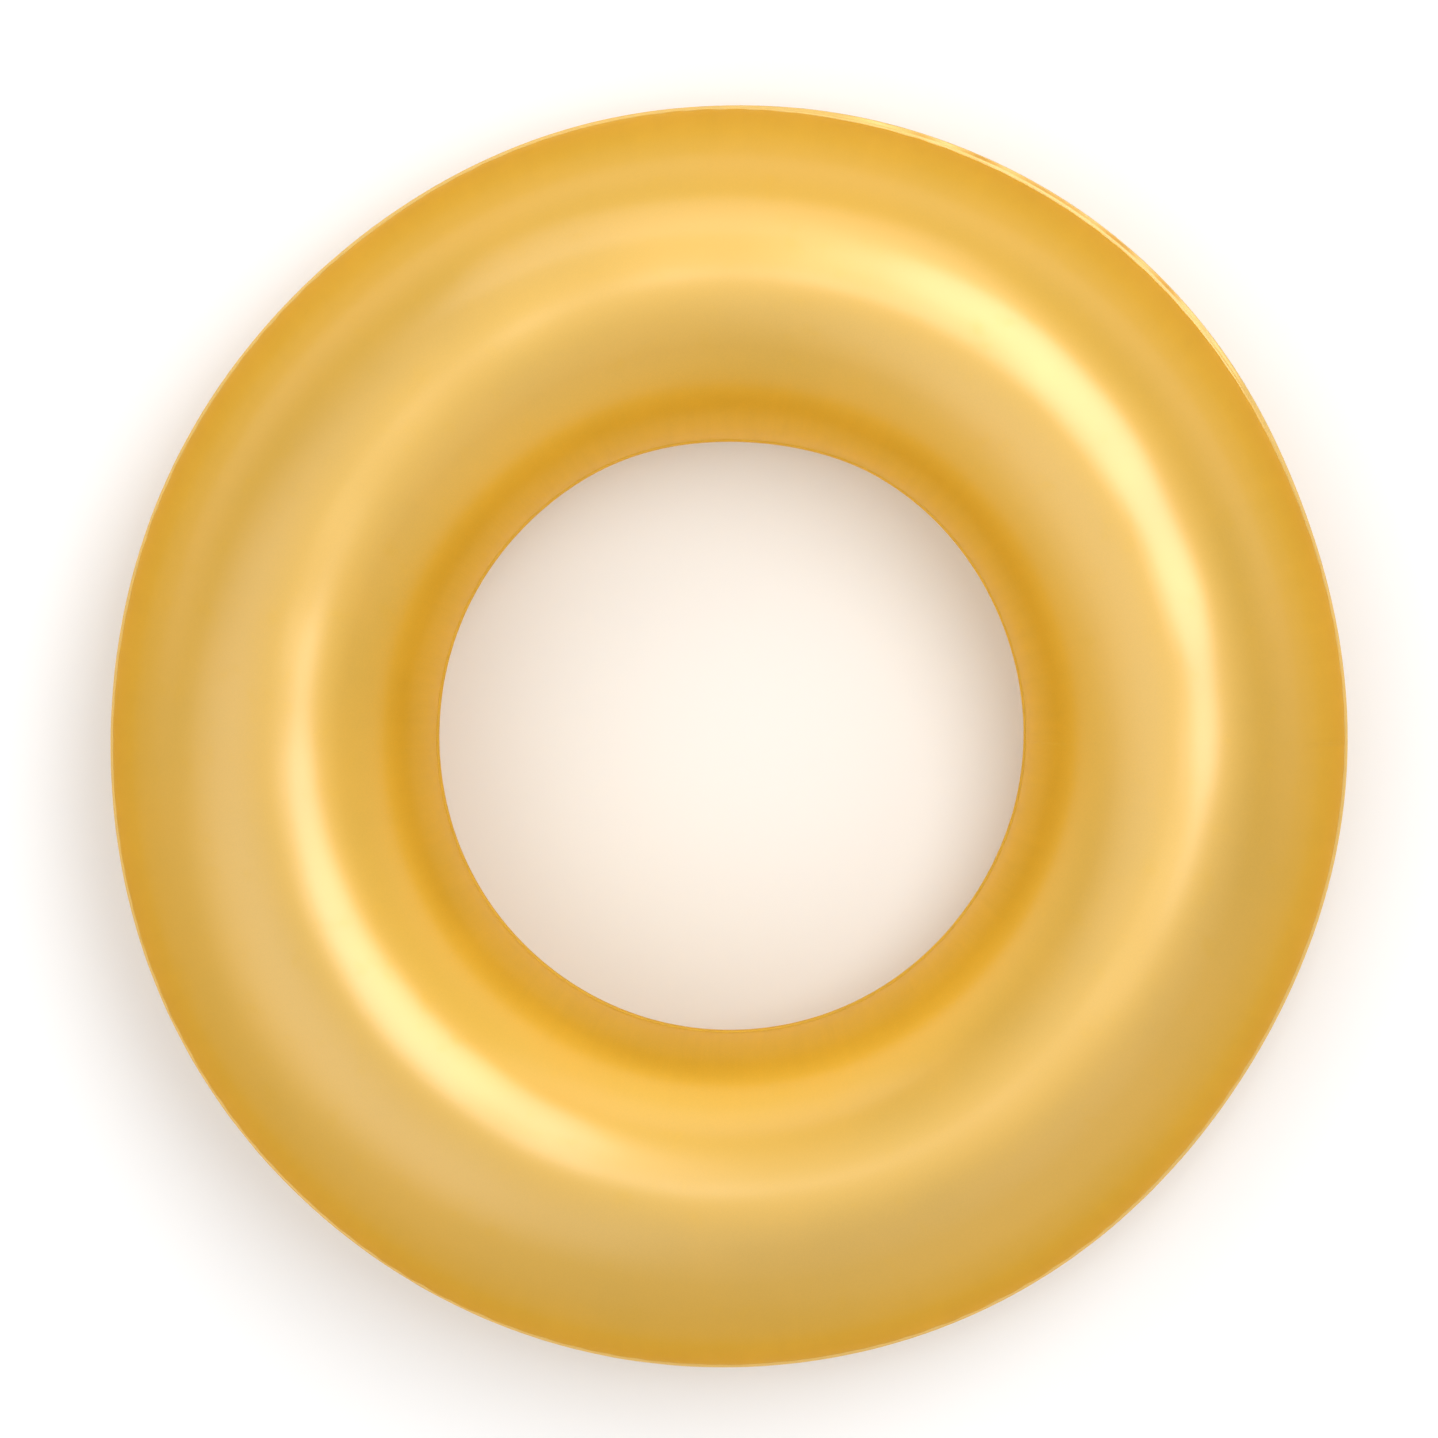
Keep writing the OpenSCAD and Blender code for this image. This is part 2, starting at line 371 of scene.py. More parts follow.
def film(name, side):
    """One film as a thin closed shell: a fine outside, a coarse inside, joined round both weld strips.
    The lower film has the valve's hole."""
    outside = section(side, section_angles(True))
    inside = section(side, section_angles(False))
    inside[:, 0] -= inside[:, 2] * FILM
    on_strip = inside[:, 2] == 0
    inside[:, 1] = np.where(on_strip, side * SEAM, inside[:, 1] - inside[:, 3] * FILM)
    azimuth = np.arange(AROUND) * TAU / AROUND
    columns = AROUND // COARSE
    shell = Shell()
    fine_n, coarse_n = len(outside), len(inside)
    coarse = azimuth[::COARSE]
    shell.add(skin(side, azimuth, outside), np.repeat(outside[:, 4], AROUND), np.tile(azimuth, fine_n))
    start = shell.add(skin(side, coarse, inside), np.repeat(inside[:, 4], columns), np.tile(coarse, coarse_n))
    if side > 0:
        outer = grid_faces(fine_n, AROUND, 0).tolist()
        inner = grid_faces(coarse_n, columns, start).tolist()
    else:
        outer, top = cut_for_valve(shell, 0, fine_n, AROUND, outside[:, 4], WELD_RINGS, 1)
        under = [(r, FILM_T) for r in UNDER_WELD]
        inner, bottom = cut_for_valve(shell, start, coarse_n, columns, inside[:, 4], under, -1)
        turns = [(k, (k + 1) % SPOKES) for k in range(SPOKES)]
        wall = [(top + k, top + n, bottom + n, bottom + k) for k, n in turns]
        shell.add_faces(wall, lambda corner: np.array(VALVE_O) - corner)
    faces = outer + [f[::-1] for f in inner]
    for fine_row, coarse_row in ((0, 0), (fine_n - 1, coarse_n - 1)):
        for k in range(columns):
            edge = [fine_row * AROUND + (k * COARSE + j) % AROUND for j in range(COARSE + 1)]
            back = [start + coarse_row * columns + j for j in ((k + 1) % columns, k)]
            faces.append((edge + back)[::-1] if fine_row == 0 else edge + back)
    if side < 0:
        faces = [f[::-1] for f in faces]
    faces += shell.faces
    return film_mesh(name, shell, faces)


def film_mesh(name, shell, faces):
    """Makes the film's object, without the grid points that the valve's rings stand in for."""
    used = np.zeros(shell.count, bool)
    used[np.concatenate([np.array(f) for f in faces])] = True
    index = np.cumsum(used) - 1
    mesh = bpy.data.meshes.new(name)
    points = np.concatenate(shell.points)[used]
    mesh.from_pydata(points.tolist(), [], [index[list(f)].tolist() for f in faces])
    for label, parts in (("arc", shell.arcs), ("around", shell.turns)):
        layer = mesh.attributes.new(label, "FLOAT", "POINT")
        layer.data.foreach_set("value", np.concatenate(parts)[used].astype(np.float32))
    return as_piece(name, mesh)


def as_piece(name, mesh):
    mesh.shade_smooth()
    mesh.update()
    piece = bpy.data.objects.new(name, mesh)
    bpy.context.scene.collection.objects.link(piece)
    return piece


# ---------------------------------------------------------------- the valve's pieces, in millimetres

LATHE_STEPS = 96  # vertices in each turned ring
FLAT_BELOW = 2.6  # depth from which a moulding no longer follows the ring's skin
FOLLOW_FADE = 1.2  # height above that over which it begins to


def filleted(corners, closed=True, steps=4):
    """Rounds the corners of a profile. A corner is two coordinates and the size of its rounding."""
    out = []
    for i, (r, z, size) in enumerate(corners):
        here = Vector((r, z))
        if size == 0 or (not closed and i in (0, len(corners) - 1)):
            out.append((r, z))
            continue
        before = Vector(corners[i - 1][:2]) - here
        after = Vector(corners[(i + 1) % len(corners)][:2]) - here
        first = here + before.normalized() * min(size, 0.48 * before.length)
        last = here + after.normalized() * min(size, 0.48 * after.length)
        for k in range(steps + 1):
            t = k / steps
            point = first * (1 - t) ** 2 + here * (2 * t * (1 - t)) + last * t ** 2
            out.append((point.x, point.y))
    return out


def lathe(mesh, profile, closed=True, follow=math.inf):
    """Turns a profile about the valve's axis. A profile that isn't closed starts and ends on the axis.
    follow is the radius beyond which heights are counted from the ring's curved skin."""
    rings = []
    for r, z in profile:
        if r < 1e-6:
            rings.append([mesh.verts.new(from_valve(0.0, 0.0, z))])
            continue
        x, y = circle(r, LATHE_STEPS)
        curve = skin_height(x, y) * smooth((z + FLAT_BELOW) / FOLLOW_FADE) if r > follow else 0
        rings.append([mesh.verts.new(p) for p in from_valve(x, y, z + curve)])
    pairs = list(zip(rings, rings[1:] + rings[:1]))
    for a, b in pairs if closed else pairs[:-1]:
        for k in range(LATHE_STEPS):
            n = (k + 1) % LATHE_STEPS
            corners = [a[k % len(a)], a[n % len(a)], b[n % len(b)], b[k % len(b)]]
            corners = [v for i, v in enumerate(corners) if v not in corners[:i]]
            if len(corners) > 2:
                mesh.faces.new(corners)


def headings(path):
    """Each point of a path in a plane, with the unit vector along the path there."""
    for i, point in enumerate(path):
        ahead, behind = path[min(i + 1, len(path) - 1)], path[max(i - 1, 0)]
        yield point, Vector((ahead[0] - behind[0], ahead[1] - behind[1])).normalized()


def bar(mesh, path, width, thickness, rounding=0.22):
    """Sweeps a rounded flat bar along points (x, z) of the valve's frame, with its width along y."""
    sides = ((1, 1), (1, -1), (-1, -1), (-1, 1))
    outline = filleted([(w * width / 2, t * thickness / 2, rounding) for w, t in sides], steps=3)
    loops = []
    for (x, z), along in headings(path):
        loops.append([mesh.verts.new(from_valve(x - along.y * t, w, z + along.x * t)) for w, t in outline])
    for a, b in zip(loops, loops[1:]):
        for k in range(len(outline)):
            n = (k + 1) % len(outline)
            mesh.faces.new((a[k], a[n], b[n], b[k]))
    mesh.faces.new(loops[0][::-1])
    mesh.faces.new(loops[-1])


def valve_piece(name, build):
    mesh = bmesh.new()
    build(mesh)
    bmesh.ops.recalc_face_normals(mesh, faces=mesh.faces)
    data = bpy.data.meshes.new(name)
    mesh.to_mesh(data)
    mesh.free()
    return as_piece(name, data)


# Sizes of the moulding, as part.scad has them.
THROAT_R, THROAT_WALL, THROAT_DEPTH, FOLD_DEPTH, FOLD_T = 11.5, 1.0, 4.0, 6.5, 0.6
FLANGE_R, FLANGE_T = 22.0, 0.8
BORE_R, STEM_R, STEM_L, MOUTH_H, RIM_R, RIM_T = 3.75, 5.2, 21.0, 1.0, 6.5, 1.6
BEAD_R, BEAD_RISE = 0.6, 1.5
HEAD_R, HEAD_T, PLUG_L, PLUG_GAP, SWING_R, CLEAR = 6.6, 1.8, 5.0, 0.05, 10.4, 0.05
HOLLOW_R = 1.6
STRAP_W, STRAP_T, LOOP_X, LOOP_R = 4.0, 0.8, 8.6, 1.3
TONGUE_X = 5.0  # where the two tongues that the strap joins start, hidden in the rim and the head


def base(mesh):
    """Flange that thins towards its edge, the throat's wall, and a low ring round the throat's mouth."""
    edge_z, ring_z = -0.75, -0.14
    lathe(mesh, filleted([
        (FLANGE_R, -FILM_T, 0.25), (FLANGE_R, edge_z, 0.25), (13.6, -FILM_T - FLANGE_T, 0.8),
        (THROAT_R + THROAT_WALL, -THROAT_DEPTH, 0.35), (THROAT_R, -THROAT_DEPTH, 0.1),
        (THROAT_R, -FILM_T, 0.5), (12.3, -FILM_T, 0.2), (12.6, ring_z, 0.2),
        (13.1, ring_z, 0.2), (13.4, -FILM_T, 0.2), (14.7, -FILM_T, 0.2),
    ]), follow=THROAT_R - 0.1)


def diaphragm(mesh):
    """Folding cone, curved like an S from the throat's wall down to the stem."""
    spine = [
        (11.22, -2.85), (11.2, -3.5), (10.85, -4.4), (10.0, -5.5), (8.9, -6.8),
        (7.7, -8.2), (6.6, -9.5), (5.85, -10.4), (5.5, -11.1), (5.45, -11.65),
    ]
    left, right = [], []
    for (r, z), along in headings(spine):
        left.append((r - along.y * FOLD_T / 2, z + along.x * FOLD_T / 2))
        right.append((r + along.y * FOLD_T / 2, z - along.x * FOLD_T / 2))
    lathe(mesh, left + right[::-1])


def stem(mesh):
    """Tube with a rim at its mouth, a bead for the fingers, and the tongue that the strap grows from."""
    end = MOUTH_H - STEM_L
    rim_end = MOUTH_H - RIM_T
    bead_z = -THROAT_DEPTH - FOLD_DEPTH + BEAD_RISE
    lathe(mesh, filleted([
        (BORE_R, MOUTH_H, 0.3), (RIM_R, MOUTH_H, 0.55), (RIM_R, rim_end, 0.4), (STEM_R, rim_end - 0.1, 0.4),
        (STEM_R, bead_z + BEAD_R, 0.2), (STEM_R + BEAD_R, bead_z + 0.25, 0.25),
        (STEM_R + BEAD_R, bead_z - 0.25, 0.25), (STEM_R, bead_z - BEAD_R, 0.2),
        (STEM_R, end, 0.25), (BORE_R, end, 0.25),
    ]))
    bar(mesh, [(TONGUE_X, MOUTH_H - LOOP_R), (LOOP_X, MOUTH_H - LOOP_R)], STRAP_W, STRAP_T)


def strap(mesh):
    """Half loop from the stem's tongue up to the stopper's."""
    turns = [math.radians(t) for t in range(-90, 91, 12)]
    path = [(LOOP_X + LOOP_R * math.cos(t), MOUTH_H + LOOP_R * math.sin(t)) for t in turns]
    bar(mesh, path, STRAP_W, STRAP_T)


def plug_radius(depth):
    """Radius of the plug at a depth below the mouth: the arc that lets it swing straight out of the bore."""
    return math.sqrt((SWING_R + BORE_R - PLUG_GAP) ** 2 - depth ** 2) - SWING_R


def stopper(mesh):
    """Head with a dished top and a ring in the dish, the hollow plug under it, a tongue and a finger tab."""
    low, top = MOUTH_H + CLEAR, MOUTH_H + CLEAR + HEAD_T
    dish, ring = top - 0.3, top - 0.1
    end, hollow_top = MOUTH_H - PLUG_L, MOUTH_H - 1.0
    plug = [(plug_radius(d), MOUTH_H - d, 0.0) for d in (0.0, 1.0, 2.0, 3.0, 4.0, PLUG_L - 0.25)]
    lathe(mesh, filleted([
        (0.0, dish, 0.0), (1.0, dish, 0.4), (1.3, ring, 0.2), (1.8, ring, 0.2), (2.1, dish, 0.4),
        (4.5, dish, 0.5), (5.1, top, 0.35), (HEAD_R, top, 0.6), (HEAD_R, low, 0.3),
        (plug_radius(0.0), low, 0.05), *plug, (2.3, end, 0.2),
        (HOLLOW_R, end, 0.2), (HOLLOW_R, hollow_top, 0.5), (0.0, hollow_top, 0.0),
    ], closed=False), closed=False)
    bar(mesh, [(TONGUE_X, MOUTH_H + LOOP_R), (LOOP_X, MOUTH_H + LOOP_R)], STRAP_W, STRAP_T)
    tab(mesh, top)


def tab(mesh, top):
    """Finger tab opposite the strap, with three ridges to grip."""
    root, middle, half_w, thick = -4.5, -(HEAD_R + 1.6), 2.5, 0.8
    turns = [math.radians(t) for t in range(90, 271, 10)]
    tip = [(middle + half_w * math.cos(t), half_w * math.sin(t)) for t in turns]
    outline = [(root, half_w), *tip, (root, -half_w)]
    face = mesh.faces.new([mesh.verts.new(from_valve(x, y, top - thick)) for x, y in outline])
    made = bmesh.ops.extrude_face_region(mesh, geom=[face])["geom"]
    verts = [v for v in made if isinstance(v, bmesh.types.BMVert)]
    bmesh.ops.translate(mesh, verts=verts, vec=VALVE_N * (thick * MM))
    faces = {f for v in verts for f in v.link_faces}
    edges = {e for f in faces for e in f.edges}
    sharp = [e for e in edges if abs(e.calc_face_angle(0)) > 1.2]
    bmesh.ops.bevel(mesh, geom=sharp, offset=0.22 * MM, segments=3, affect="EDGES", profile=0.5)
    for x, length in ((-9.6, 3.4), (-8.5, 3.9), (-7.4, 3.9)):
        bar(mesh, [(x - 0.22, top - 0.06), (x + 0.22, top - 0.06)], length, 0.4, 0.15)


# ---------------------------------------------------------------- materials

def new_material(name):
    material = bpy.data.materials.new(name)
    material.use_nodes = True
    tree = material.node_tree
    return material, tree, tree.nodes["Principled BSDF"]


def link(tree, source, socket):
    """Joins a node's output to a socket, or sets the socket to a number or colour."""
    if isinstance(source, (int, float, tuple)):
        socket.default_value = source
    else:
        tree.links.new(source, socket)


def attribute(tree, name):
    node = tree.nodes.new("ShaderNodeAttribute")
    node.attribute_name = name
    return node.outputs["Fac"]


def place(tree):
    """The object's own coordinates, which are the CAD frame's metres."""
    return tree.nodes.new("ShaderNodeTexCoord").outputs["Object"]


def noise(tree, vector, per_metre, detail=2.0, roughness=0.5):
    node = tree.nodes.new("ShaderNodeTexNoise")
    node.inputs["Scale"].default_value = per_metre
    node.inputs["Detail"].default_value = detail
    node.inputs["Roughness"].default_value = roughness
    link(tree, vector, node.inputs["Vector"])
    return node.outputs["Fac"]


def ramp(tree, value, low, high, out_low=0.0, out_high=1.0):
    """Maps low..high of a value smoothly to out_low..out_high."""
    node = tree.nodes.new("ShaderNodeMapRange")
    node.interpolation_type = "SMOOTHSTEP"
    for key, number in (("From Min", low), ("From Max", high), ("To Min", out_low), ("To Max", out_high)):
        node.inputs[key].default_value = number
    link(tree, value, node.inputs["Value"])
    return node.outputs["Result"]


def calc(tree, operation, *values):
    node = tree.nodes.new("ShaderNodeMath")
    node.operation = operation
    for socket, value in zip(node.inputs, values):
        link(tree, value, socket)
    return node.outputs["Value"]


def product(tree, first, *others):
    for other in others:
        first = calc(tree, "MULTIPLY", first, other)
    return first


def total(tree, first, *others):
    for other in others:
        first = calc(tree, "ADD", first, other)
    return first


def mix_colour(tree, share, first, second, blend_type="MIX"):
    node = tree.nodes.new("ShaderNodeMix")
    node.data_type = "RGBA"
    node.blend_type = blend_type
    for key, value in ((0, share), (6, first), (7, second)):  # the sockets that colours use
        link(tree, value, node.inputs[key])
    return node.outputs[2]


def bump(tree, shader, height, depth):
    """Gives a shader the relief of a height, of which 1 is as high as depth."""
    node = tree.nodes.new("ShaderNodeBump")
    node.inputs["Strength"].default_value = 1.0
    node.inputs["Distance"].default_value = depth
    link(tree, height, node.inputs["Height"])
    link(tree, node.outputs["Normal"], shader.inputs["Normal"])


def vector(tree, *parts):
    node = tree.nodes.new("ShaderNodeCombineXYZ")
    for socket, part in zip(node.inputs, parts):
        link(tree, part, socket)
    return node.outputs["Vector"]


def components(tree, source):
    node = tree.nodes.new("ShaderNodeSeparateXYZ")
    link(tree, source, node.inputs["Vector"])
    return node.outputs


def distance(tree, source, point):
    node = tree.nodes.new("ShaderNodeVectorMath")
    node.operation = "DISTANCE"
    node.inputs[1].default_value = point
    link(tree, source, node.inputs[0])
    return node.outputs["Value"]


def flakes(tree, spot, per_metre):
    """A random value from 0 to 1 for each flake of pigment."""
    node = tree.nodes.new("ShaderNodeTexVoronoi")
    node.inputs["Scale"].default_value = per_metre
    link(tree, spot, node.inputs["Vector"])
    return components(tree, node.outputs["Color"])[0]


def knurl(tree, across, along, pitch):
    """Diamond pattern of small pyramids, from 0 to 1."""
    turns = TAU / pitch
    first = calc(tree, "SINE", calc(tree, "MULTIPLY", calc(tree, "ADD", across, along), turns))
    second = calc(tree, "SINE", calc(tree, "MULTIPLY", calc(tree, "SUBTRACT", across, along), turns))
    return calc(tree, "MULTIPLY_ADD", calc(tree, "MULTIPLY", first, second), 0.5, 0.5)


def colour_ramp(tree, value, stops):
    """Colour at a value between stops, each given as a position and a colour."""
    node = tree.nodes.new("ShaderNodeValToRGB")
    elements = node.color_ramp.elements
    while len(elements) < len(stops):
        elements.new(0.5)
    for element, (position, colour) in zip(elements, stops):
        element.position = position
        element.color = (*colour, 1)
    link(tree, value, node.inputs["Fac"])
    return node.outputs["Color"]


# Painted shade and light: the gold is darker on the outer flank, standing in for the shade at the ring's outer
# edge, a little paler over the crest as a painted highlight, and lighter towards the inner weld, standing in for
# light in the hole.
GOLD_AND_PAINTED_SHADE_STOPS = (  # the film's gold across the tube, from the outer weld to the inner one, by share of the way, with painted shade and light in it
    (0.0, (0.74, 0.50, 0.14)),
    (0.02, (0.62, 0.355, 0.044)),
    (0.19, (0.64, 0.375, 0.042)),
    (0.35, (0.64, 0.380, 0.038)),
    (0.44, (0.65, 0.405, 0.070)),
    (0.56, (0.65, 0.405, 0.066)),
    (0.65, (0.67, 0.400, 0.042)),
    (0.75, (0.77, 0.480, 0.050)),
    (0.84, (0.80, 0.520, 0.054)),
)
COAT_STOPS = (  # how much of the clear skin's gloss shows, by the same share of the way: least on the flanks
    (0.0, 0.45),
    (0.02, 0.15),
    (0.18, 0.15),
    (0.41, 1.0),
    (0.59, 1.0),
    (0.80, 0.15),
    (0.93, 0.55),
)
GOLD_ROUGH = 0.56
COAT, COAT_ROUGH, COAT_IOR = 0.41, 0.24, 2.5  # of the clear skin
SCUFFED = 0.8  # share of the coat that is left where it is scuffed
SLACK_FADE = (0.02, 0.10)  # distances from a weld where the film's faint gathers, and the shade painted along them, start and end their fading
STRIP_KNURL, STRIP_KNURL_H = 2.4 * MM, 0.09  # pitch, and height in mm, of the pattern in the weld strips
VALVE_KNURL, VALVE_KNURL_H = 1.6 * MM, 0.05  # the same for the weld round the valve
VALVE_WELD = (0.0152, 0.0212)  # inner and outer radius of that weld
GRAIN_H, STREAK_H = 0.008, 0.28  # heights of the film's grain and of its faint gathers, mm


def gold_vinyl():
    """Calendered PVC film with pearl pigment in it: satin metal under a glossier clear skin. Its colour holds
    painted shade and light across the tube and along the gathers.
    """
    material, tree, shader = new_material("gold_vinyl")
    spot, arc, around = place(tree), attribute(tree, "arc"), attribute(tree, "around")
    share = calc(tree, "DIVIDE", arc, WELD_TO_WELD)
    half = WELD_TO_WELD / 2
    from_weld = calc(tree, "SUBTRACT", half, calc(tree, "ABSOLUTE", calc(tree, "SUBTRACT", arc, half)))
    slack = ramp(tree, from_weld, *SLACK_FADE, 1.0, 0.15)
    along = calc(tree, "MULTIPLY", around, RING_R + TUBE_R)
    streaks = noise(tree, vector(tree, along, calc(tree, "MULTIPLY", arc, 0.16), 0.0), 75.0, 3.0)
    clouds = noise(tree, spot, 13.0, 3.0)
    flake = flakes(tree, spot, 2600.0)
    # The film's tone varies at random in clouds and pigment flakes. Along the faint gathers its colour is painted
    # lighter and darker, a painted shade of the folds.
    tone_and_fold_shade = total(
        tree,
        product(tree, calc(tree, "SUBTRACT", streaks, 0.5), slack, 0.10),
        ramp(tree, clouds, 0.3, 0.7, -0.022, 0.022),
        calc(tree, "MULTIPLY_ADD", flake, 0.07, 0.965),
    )
    # The gold across the tube, with its painted shade on the outer flank and painted light towards the inner weld.
    colour = colour_ramp(tree, share, GOLD_AND_PAINTED_SHADE_STOPS)
    gold_with_painted_shade = mix_colour(tree, 1.0, colour, vector(tree, tone_and_fold_shade, tone_and_fold_shade, tone_and_fold_shade), "MULTIPLY")
    link(tree, gold_with_painted_shade, shader.inputs["Base Color"])
    rough_clouds = ramp(tree, clouds, 0.25, 0.75, GOLD_ROUGH - 0.03, GOLD_ROUGH + 0.03)
    roughness = calc(tree, "ADD", rough_clouds, calc(tree, "MULTIPLY_ADD", flake, 0.06, -0.03))
    link(tree, roughness, shader.inputs["Roughness"])
    scuffs = ramp(tree, noise(tree, spot, 55.0, 4.0, 0.7), 0.56, 0.72, COAT, COAT * SCUFFED)
    gloss = colour_ramp(tree, share, [(position, (part,) * 3) for position, part in COAT_STOPS])
    link(tree, calc(tree, "MULTIPLY", scuffs, gloss), shader.inputs["Coat Weight"])
    shader.inputs["Metallic"].default_value = 1.0
    shader.inputs["Specular Tint"].default_value = (1.0, 0.66, 0.26, 1)
    shader.inputs["Coat Roughness"].default_value = COAT_ROUGH
    shader.inputs["Coat IOR"].default_value = COAT_IOR
    relief = total(
        tree,
        weld_pattern(tree, spot, arc, along, from_weld),
        product(tree, noise(tree, spot, 1300.0, 1.0), GRAIN_H),
        product(tree, streaks, slack, STREAK_H),
    )
    bump(tree, shader, relief, MM)
    return material


def weld_pattern(tree, spot, arc, along, from_weld):
    """Height in mm of the diamonds that the welding dies press into the weld strips and round the valve."""
    on_strip = calc(tree, "LESS_THAN", from_weld, -0.4 * MM)
    gap = distance(tree, spot, VALVE_O)
    on_valve_weld = product(
        tree,
        calc(tree, "GREATER_THAN", gap, VALVE_WELD[0]),
        calc(tree, "LESS_THAN", gap, VALVE_WELD[1]),
    )
    x, y, z = components(tree, spot)
    slope = math.radians(45)  # of the flank at the valve
    downhill = calc(tree, "MULTIPLY", calc(tree, "SUBTRACT", y, z), math.cos(slope))
    return total(
        tree,
        product(tree, knurl(tree, along, arc, STRIP_KNURL), on_strip, STRIP_KNURL_H),
        product(tree, knurl(tree, x, downhill, VALVE_KNURL), on_valve_weld, VALVE_KNURL_H),
    )


def milky_vinyl():
    """Soft injection-moulded PVC, cloudy white and a little see-through, with a fine matt from the mould."""
    material, tree, shader = new_material("milky_vinyl")
    spot = place(tree)
    clouds = noise(tree, spot, 260.0, 3.0)
    grain = noise(tree, spot, 5200.0, 2.0)
    colour = mix_colour(tree, ramp(tree, clouds, 0.3, 0.7), (0.84, 0.85, 0.81, 1), (0.76, 0.765, 0.715, 1))
    link(tree, colour, shader.inputs["Base Color"])
    link(tree, ramp(tree, noise(tree, spot, 700.0, 2.0), 0.3, 0.7, 0.27, 0.42), shader.inputs["Roughness"])
    shader.inputs["Subsurface Weight"].default_value = 0.45
    shader.inputs["Subsurface Radius"].default_value = (0.003, 0.0029, 0.0026)
    bump(tree, shader, grain, 0.02 * MM)
    return material


def floor_paint():
    material, tree, shader = new_material("floor")
    shader.inputs["Base Color"].default_value = (0.925, 0.935, 0.95, 1)
    shader.inputs["Roughness"].default_value = 0.7
    return material


# ---------------------------------------------------------------- pieces

gold, milky = gold_vinyl(), milky_vinyl()

for name, side in (("top_film", 1), ("bottom_film", -1)):
    piece = film(name, side)
    piece.data.materials.append(gold)
    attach(piece, "ring")
    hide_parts("top_sheet" if side > 0 else "bottom_sheet")


for name, build, node in (
    ("valve_seat", base, "valve_base"),
    ("valve_fold", diaphragm, "valve_diaphragm"),
    ("valve_tube", stem, "valve_stem"),
    ("stopper_loop", strap, "cap_strap"),
    ("stopper", stopper, "stopper_cap"),
):
    piece = valve_piece(name, build)
    piece.data.materials.append(milky)
    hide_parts(node)
    if name == "valve_fold":
        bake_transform(piece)
    elif name == "stopper_loop":
        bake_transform(piece)
    else:
        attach(piece, {"valve_seat": "ring", "valve_tube": "stem", "stopper": "cap"}[name])
for name in ("flap_anchor", "backflow_flap"):
    frame["nodes"][name].data.materials.clear()
    frame["nodes"][name].data.materials.append(milky)


# ---------------------------------------------------------------- floor, light and camera

FLOOR_SIDE = 14.0
bpy.ops.mesh.primitive_plane_add(size=FLOOR_SIDE, location=(0, 0, 0))
floor = bpy.context.object
floor.name = "floor"
floor.data.materials.append(floor_paint())


def direction(polar, azimuth):
    """Unit vector at an angle from straight up, towards an azimuth counted from +X, both in degrees."""
    p, a = math.radians(polar), math.radians(azimuth)
    return Vector((math.sin(p) * math.cos(a), math.sin(p) * math.sin(a), math.cos(p)))


def facing(back):
    """Rotation of a camera or lamp whose back points along a direction, upright towards +Y."""
    x = Vector((0, 1, 0)).cross(back).normalized()
    y = back.cross(x)
    return Matrix((x, y, back)).transposed().to_quaternion()


def softbox(name, polar, azimuth, far, width, length, radiance, shape="RECTANGLE"):
    """Area lamp at a direction, in degrees, and a distance from the origin, which it faces."""
    light = bpy.data.lights.new(name, "AREA")
    light.shape = shape
    light.size = width
    light.size_y = length
    area = width * length * (math.pi / 4 if shape in ("ELLIPSE", "DISK") else 1)
    light.energy = radiance * area * math.pi
    lamp = bpy.data.objects.new(name, light)
    lamp.location = direction(polar, azimuth) * far
    lamp.rotation_mode = "QUATERNION"
    lamp.rotation_quaternion = facing(direction(polar, azimuth))
    bpy.context.scene.collection.objects.link(lamp)


softbox("key", 21, 38, 3.4, 1.5, 2.3, 4.2, "ELLIPSE")
softbox("top_box", 5, 60, 3.4, 0.5, 0.5, 3.4, "DISK")
softbox("side_box", 45, 92, 1.3, 1.15, 0.5, 1.2)

WORLD_BASE = 0.64  # even light from all round
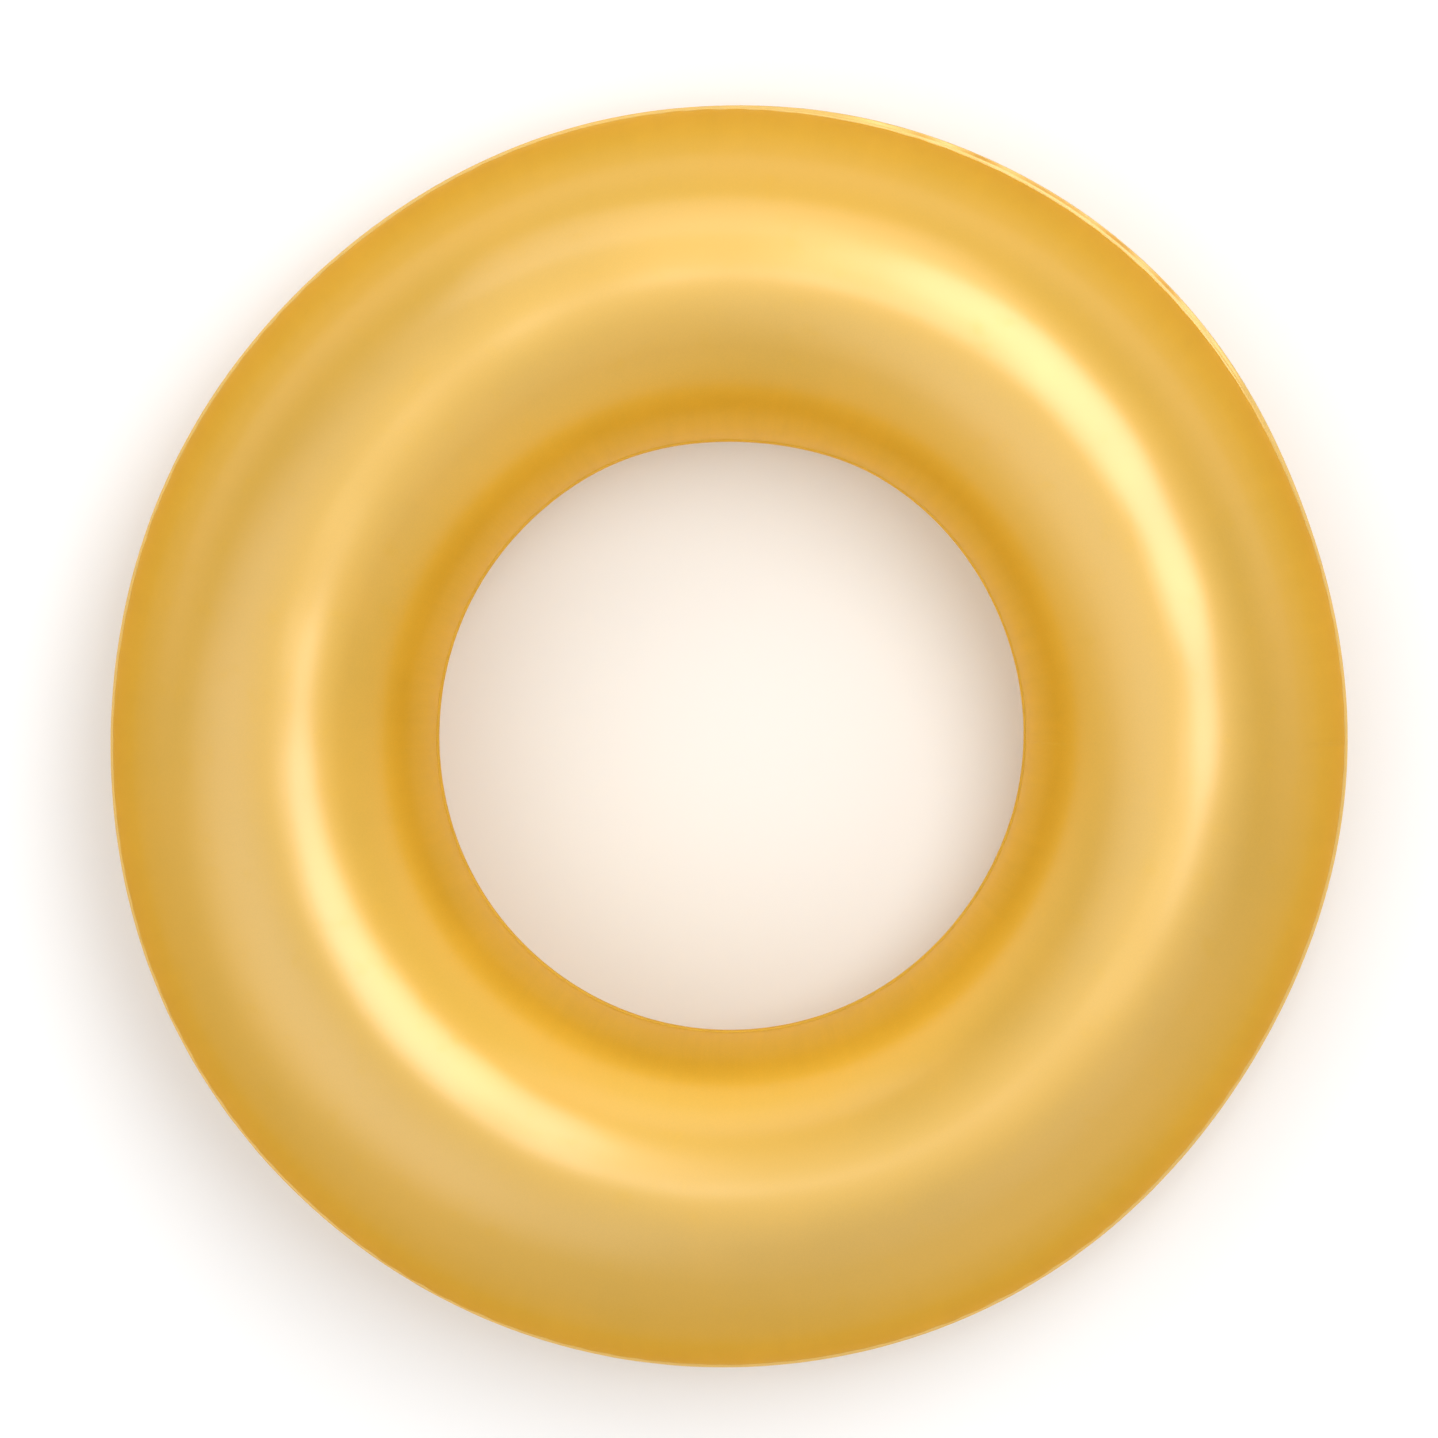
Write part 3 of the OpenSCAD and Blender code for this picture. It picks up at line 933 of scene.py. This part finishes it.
# Soft lights far away, in degrees: polar angle and azimuth, inner and outer half-angle, then the strength.
WORLD_LOBES = (
    (38, 205, 8, 38, 0.84),
    (62, 235, 8, 40, 0.24),
    (62, 305, 8, 40, 0.46),
)
WALL_AZIMUTH = 85  # degrees: the room's walls are bright low down, and most of all on this side
WALL_HEIGHT = (0.02, 0.56)  # sines of the angles above the floor between which the walls' light fades
WALL_STRENGTH = (0.25, 1.40)  # on the side away from the brightest one, and on the brightest


def studio_world():
    """Light from far away, whose strength depends only on the direction."""
    world = bpy.data.worlds.new("studio")
    bpy.context.scene.world = world
    world.use_nodes = True
    tree = world.node_tree
    look = tree.nodes.new("ShaderNodeTexCoord").outputs["Generated"]

    def towards(axis):
        node = tree.nodes.new("ShaderNodeVectorMath")
        node.operation = "DOT_PRODUCT"
        link(tree, look, node.inputs[0])
        node.inputs[1].default_value = axis
        return node.outputs["Value"]

    low_down = ramp(tree, towards((0, 0, 1)), *WALL_HEIGHT, 1.0, 0.0)
    side = ramp(tree, towards(direction(90, WALL_AZIMUTH)), -0.5, 0.7, *WALL_STRENGTH)
    strength = calc(tree, "MULTIPLY_ADD", low_down, side, WORLD_BASE)
    for polar, azimuth, inner, outer, size in WORLD_LOBES:
        cosines = [math.cos(math.radians(v)) for v in (outer, inner)]
        lobe = ramp(tree, towards(direction(polar, azimuth)), *cosines, 0.0, size)
        strength = calc(tree, "ADD", strength, lobe)
    background = tree.nodes["Background"]
    background.inputs["Color"].default_value = (1, 1, 1, 1)
    link(tree, strength, background.inputs["Strength"])


studio_world()

CAMERA_DISTANCE = 6.0
CAMERA_POLAR, CAMERA_AZIMUTH = 2.5, 48  # degrees: almost straight above, and towards the strip that shows
AIM_X, AIM_Y = -4.6 * MM, 11.8 * MM  # point at the height of the welds that is in the middle of the picture
PICTURE_WIDTH = 0.8588  # width that the picture covers there
camera_data = bpy.data.cameras.new("camera")
camera_data.lens = camera_data.sensor_width * CAMERA_DISTANCE / PICTURE_WIDTH
camera = bpy.data.objects.new("camera", camera_data)
bpy.context.scene.collection.objects.link(camera)
back = direction(CAMERA_POLAR, CAMERA_AZIMUTH)
camera.location = Vector((AIM_X, AIM_Y, WELD_Z)) + back * CAMERA_DISTANCE
camera.rotation_mode = "QUATERNION"
camera.rotation_quaternion = facing(back)
bpy.context.scene.camera = camera

bpy.context.scene.view_settings.view_transform = "Standard"
